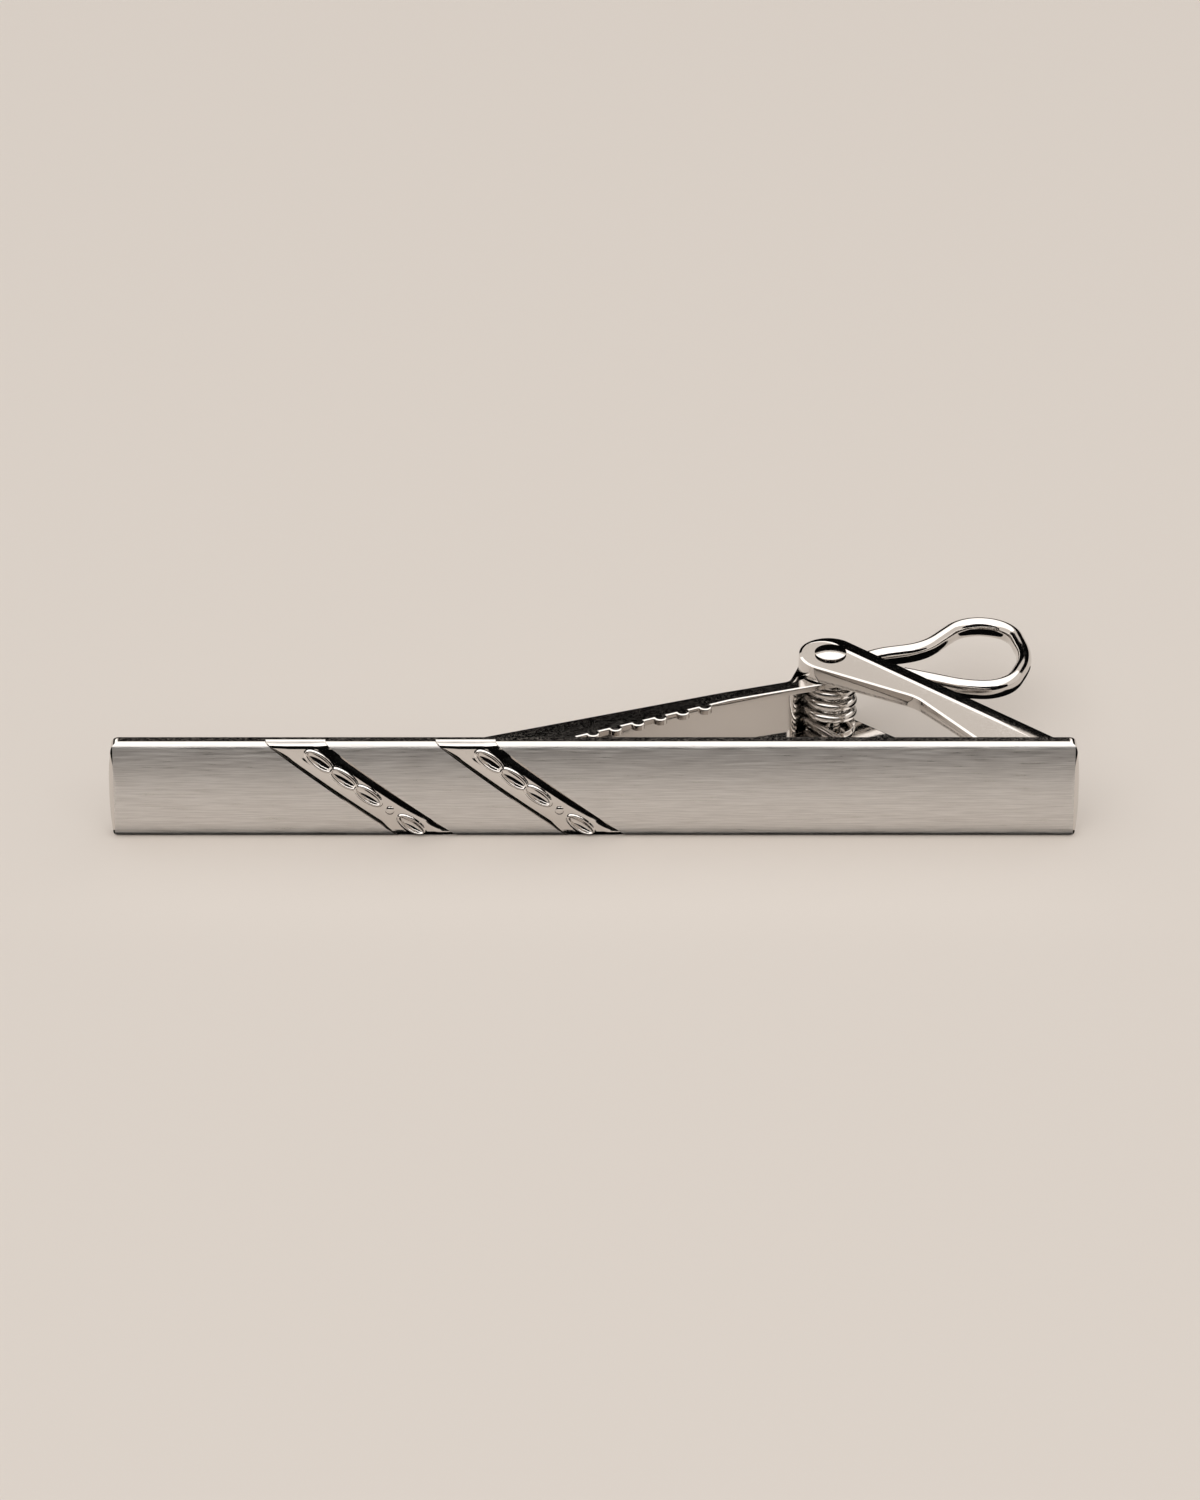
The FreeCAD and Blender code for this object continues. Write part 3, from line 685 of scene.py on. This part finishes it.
spring_wire = bpy.data.materials.new("drawn_spring_wire")
spring_wire.use_nodes = True
tree = spring_wire.node_tree
surface = tree.nodes["Principled BSDF"]
surface.inputs["Base Color"].default_value = linear("#DCD8D4")
surface.inputs["Metallic"].default_value = 1.0
place = add_node(tree, "ShaderNodeTexCoord")
draw_lines = add_node(tree, "ShaderNodeTexNoise", None, {
    "Vector": place.outputs["Object"], "Scale": 1 / (DRAW_LINE * MM), "Detail": 2.0,
})
shine = add_node(tree, "ShaderNodeMapRange", None, {
    "Value": draw_lines.outputs["Fac"], "From Min": 0.3, "From Max": 0.7, "To Min": 0.12, "To Max": 0.2,
})
tree.links.new(shine.outputs[0], surface.inputs["Roughness"])
spring.data.materials.append(spring_wire)
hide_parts("torsion_spring")
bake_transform(spring)

# Clip arm
# A channel of plated sheet steel with teeth stamped in its edges. Its ears turn on the pin, and its
# tail goes on behind the spring to the loop.

ARM_BREAK = 0.04
ARM_RIMS = (0.9, 5.0)
ARM_RIM_RADIUS = 0.1

arm = broken_edges("clip_arm", "toothed_arm", ARM_BREAK, ARM_RIMS, ARM_RIM_RADIUS)
set_down(arm, SHEET_SHADE)
arm.data.materials.clear()
arm.data.materials.append(polished)
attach(arm, "clip")

# Thumb loop
# Flattened plated wire bent to an open teardrop, with one end brazed on the arm's tail. It is
# pressed towards the bar to open the clip.

LOOP_START = Vector((14.68, 13.80, MID_Z))
LOOP_WIRE = 0.94
LOOP_WIDTH = 1.25
LOOP_HEADINGS = (34.0, 14.0, 52.5, -12.0, -78.5, -110.0, 172.0, 157.5)
LOOP_RUNS = (3.4, 2.9, 4.3, 3.0, 4.0, 4.1, 2.75, 3.8)
LOOP_BENDS = (4.0, 3.5, 2.25, 2.25, 5.0, 2.2, 5.0)
BEND_STEPS = 14
LOOP_SHADE = 60

corner = LOOP_START
route = [corner]
for index, run in enumerate(LOOP_RUNS):
    heading = math.radians(LOOP_HEADINGS[index])
    way = Vector((math.cos(heading), math.sin(heading), 0))
    corner = corner + way * run
    if index == len(LOOP_BENDS):
        route.append(corner)
        break
    turn = math.radians((LOOP_HEADINGS[index + 1] - LOOP_HEADINGS[index] + 180) % 360 - 180)
    setback = LOOP_BENDS[index] * math.tan(abs(turn) / 2)
    side = math.copysign(LOOP_BENDS[index], turn)
    centre = corner - way * setback + Vector((-way.y, way.x, 0)) * side
    for step in range(BEND_STEPS + 1):
        angle = heading + turn * step / BEND_STEPS
        route.append(centre - Vector((-math.sin(angle), math.cos(angle), 0)) * side)

bpy.ops.object.select_all(action="DESELECT")
bpy.ops.curve.primitive_nurbs_path_add()
loop = bpy.context.object
loop.name = "wire_loop"
loop.data.splines.clear()
strand = loop.data.splines.new("POLY")
strand.points.add(len(route) - 1)
for point, spot in zip(strand.points, route):
    point.co = (*(spot - LOOP_START), 1)
loop.data.bevel_depth = LOOP_WIRE / 2
loop.data.bevel_resolution = 8
loop.data.use_fill_caps = True
bpy.ops.object.convert(target="MESH")
loop = bpy.context.object
for vertex in loop.data.vertices:
    vertex.co.z *= LOOP_WIDTH / LOOP_WIRE
loop.data.transform(Matrix.Translation(LOOP_START))
bpy.ops.object.shade_smooth_by_angle(angle=math.radians(LOOP_SHADE))
loop.scale = (MM, MM, MM)
bpy.ops.object.transform_apply(location=False, rotation=False, scale=True)
loop.data.materials.append(polished)
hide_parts("thumb_loop")
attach(loop, "clip")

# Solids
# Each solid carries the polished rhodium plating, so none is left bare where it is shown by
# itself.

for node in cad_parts.values():
    node.data.materials.clear()
    node.data.materials.append(polished)
